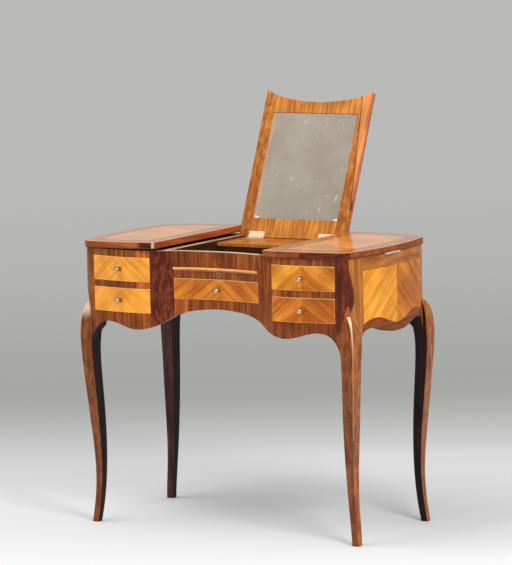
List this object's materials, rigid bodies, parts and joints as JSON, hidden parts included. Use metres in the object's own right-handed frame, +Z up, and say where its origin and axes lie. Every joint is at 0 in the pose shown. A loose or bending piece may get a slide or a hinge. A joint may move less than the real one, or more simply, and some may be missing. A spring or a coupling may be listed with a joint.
{
  "type": "poudreuse dressing table",
  "caption": "Bow-sided dressing table on cabriole legs, with two hinged lids, a hinged mirror between them, drawers, a writing slide and a scalloped kneehole front",
  "frame": {"origin": "on the floor, under the middle of the bounding box of the table as it stands open", "axes": "+X to the sitter's right, +Y towards the back, +Z up"},
  "size_m": [0.8264, 0.6051, 1.0775],
  "materials": {
    "kingwood_veneer": "old polished kingwood veneer",
    "tulipwood_veneer": "old polished tulipwood veneer",
    "carcass_wood": "plain planed oak, unpolished",
    "brass": "old, dulled",
    "hinge_steel": "worn",
    "mirror_glass": "bevelled, silvered, slightly foxed"
  },
  "bodies": {
    "case": {"apron_centre": "kingwood_veneer", "apron_left": "kingwood_veneer", "apron_right": "kingwood_veneer", "back_panel": "carcass_wood", "drawer_bed_centre": "carcass_wood", "drawer_bed_left": "carcass_wood", "drawer_bed_right": "carcass_wood", "drawer_guides": "carcass_wood", "frieze_centre": "kingwood_veneer", "inner_stile_left": "kingwood_veneer", "inner_stile_right": "kingwood_veneer", "leg_back_left": "kingwood_veneer", "leg_back_right": "kingwood_veneer", "leg_front_left": "kingwood_veneer", "leg_front_right": "kingwood_veneer", "lid_hinge_case": "hinge_steel", "middle_rail_left": "kingwood_veneer", "middle_rail_right": "kingwood_veneer", "mirror_board": "carcass_wood", "mirror_hinge_fixed": "hinge_steel", "partition_left": "carcass_wood", "partition_right": "carcass_wood", "sham_front_left": "tulipwood_veneer", "sham_front_right": "tulipwood_veneer", "sham_knobs": "brass", "side_panel_left": "kingwood_veneer", "side_panel_right": "kingwood_veneer", "slide_bed": "carcass_wood", "top_rail_left": "kingwood_veneer", "top_rail_right": "kingwood_veneer", "well_back_rail": "carcass_wood", "well_floor_centre": "carcass_wood", "well_floor_left": "carcass_wood", "well_floor_right": "carcass_wood"},
    "drawer_left": {"drawer_front_left": "tulipwood_veneer", "drawer_sides_left": "carcass_wood", "drawer_bottom_left": "carcass_wood", "drawer_knob_left": "brass"},
    "drawer_right": {"drawer_front_right": "tulipwood_veneer", "drawer_sides_right": "carcass_wood", "drawer_bottom_right": "carcass_wood", "drawer_knob_right": "brass"},
    "drawer_centre": {"drawer_front_centre": "tulipwood_veneer", "drawer_sides_centre": "carcass_wood", "drawer_bottom_centre": "carcass_wood", "drawer_knob_centre": "brass"},
    "slide": {"slide_front": "kingwood_veneer", "slide_board": "carcass_wood", "slide_escutcheon": "brass"},
    "lid_left": {"lid_left": "kingwood_veneer", "lid_hinge_leaf_left": "hinge_steel"},
    "lid_right": {"lid_right": "kingwood_veneer", "lid_hinge_leaf_right": "hinge_steel"},
    "mirror": {"mirror_backboard": "kingwood_veneer", "mirror_stile_left": "kingwood_veneer", "mirror_stile_right": "kingwood_veneer", "mirror_top_rail": "kingwood_veneer", "mirror_bottom_rail": "kingwood_veneer", "mirror_glass": "mirror_glass", "mirror_hinge_moving": "hinge_steel"}
  },
  "joints": [
    {"name": "drawer_left_slide", "type": "slide", "parent": "case", "child": "drawer_left", "axis": [0, -1, 0], "range_m": [0, 0.22]},
    {"name": "drawer_right_slide", "type": "slide", "parent": "case", "child": "drawer_right", "axis": [0, -1, 0], "range_m": [0, 0.22]},
    {"name": "drawer_centre_slide", "type": "slide", "parent": "case", "child": "drawer_centre", "axis": [0, -1, 0], "range_m": [0, 0.2]},
    {"name": "writing_slide", "type": "slide", "parent": "case", "child": "slide", "axis": [0, -1, 0], "range_m": [0, 0.17]},
    {"name": "lid_left_hinge", "type": "hinge", "parent": "case", "child": "lid_left", "pos_m": [-0.4107, -0.07806, 0.71235], "axis": [0, -1, 0], "range_deg": [-1.4, 175.6]},
    {"name": "lid_right_hinge", "type": "hinge", "parent": "case", "child": "lid_right", "pos_m": [0.4107, -0.07806, 0.71235], "axis": [0, 1, 0], "range_deg": [0, 177]},
    {"name": "mirror_hinge", "type": "hinge", "parent": "case", "child": "mirror", "pos_m": [0, 0.12094, 0.70975], "axis": [1, 0, 0], "range_deg": [0, 113.85]}
  ]
}
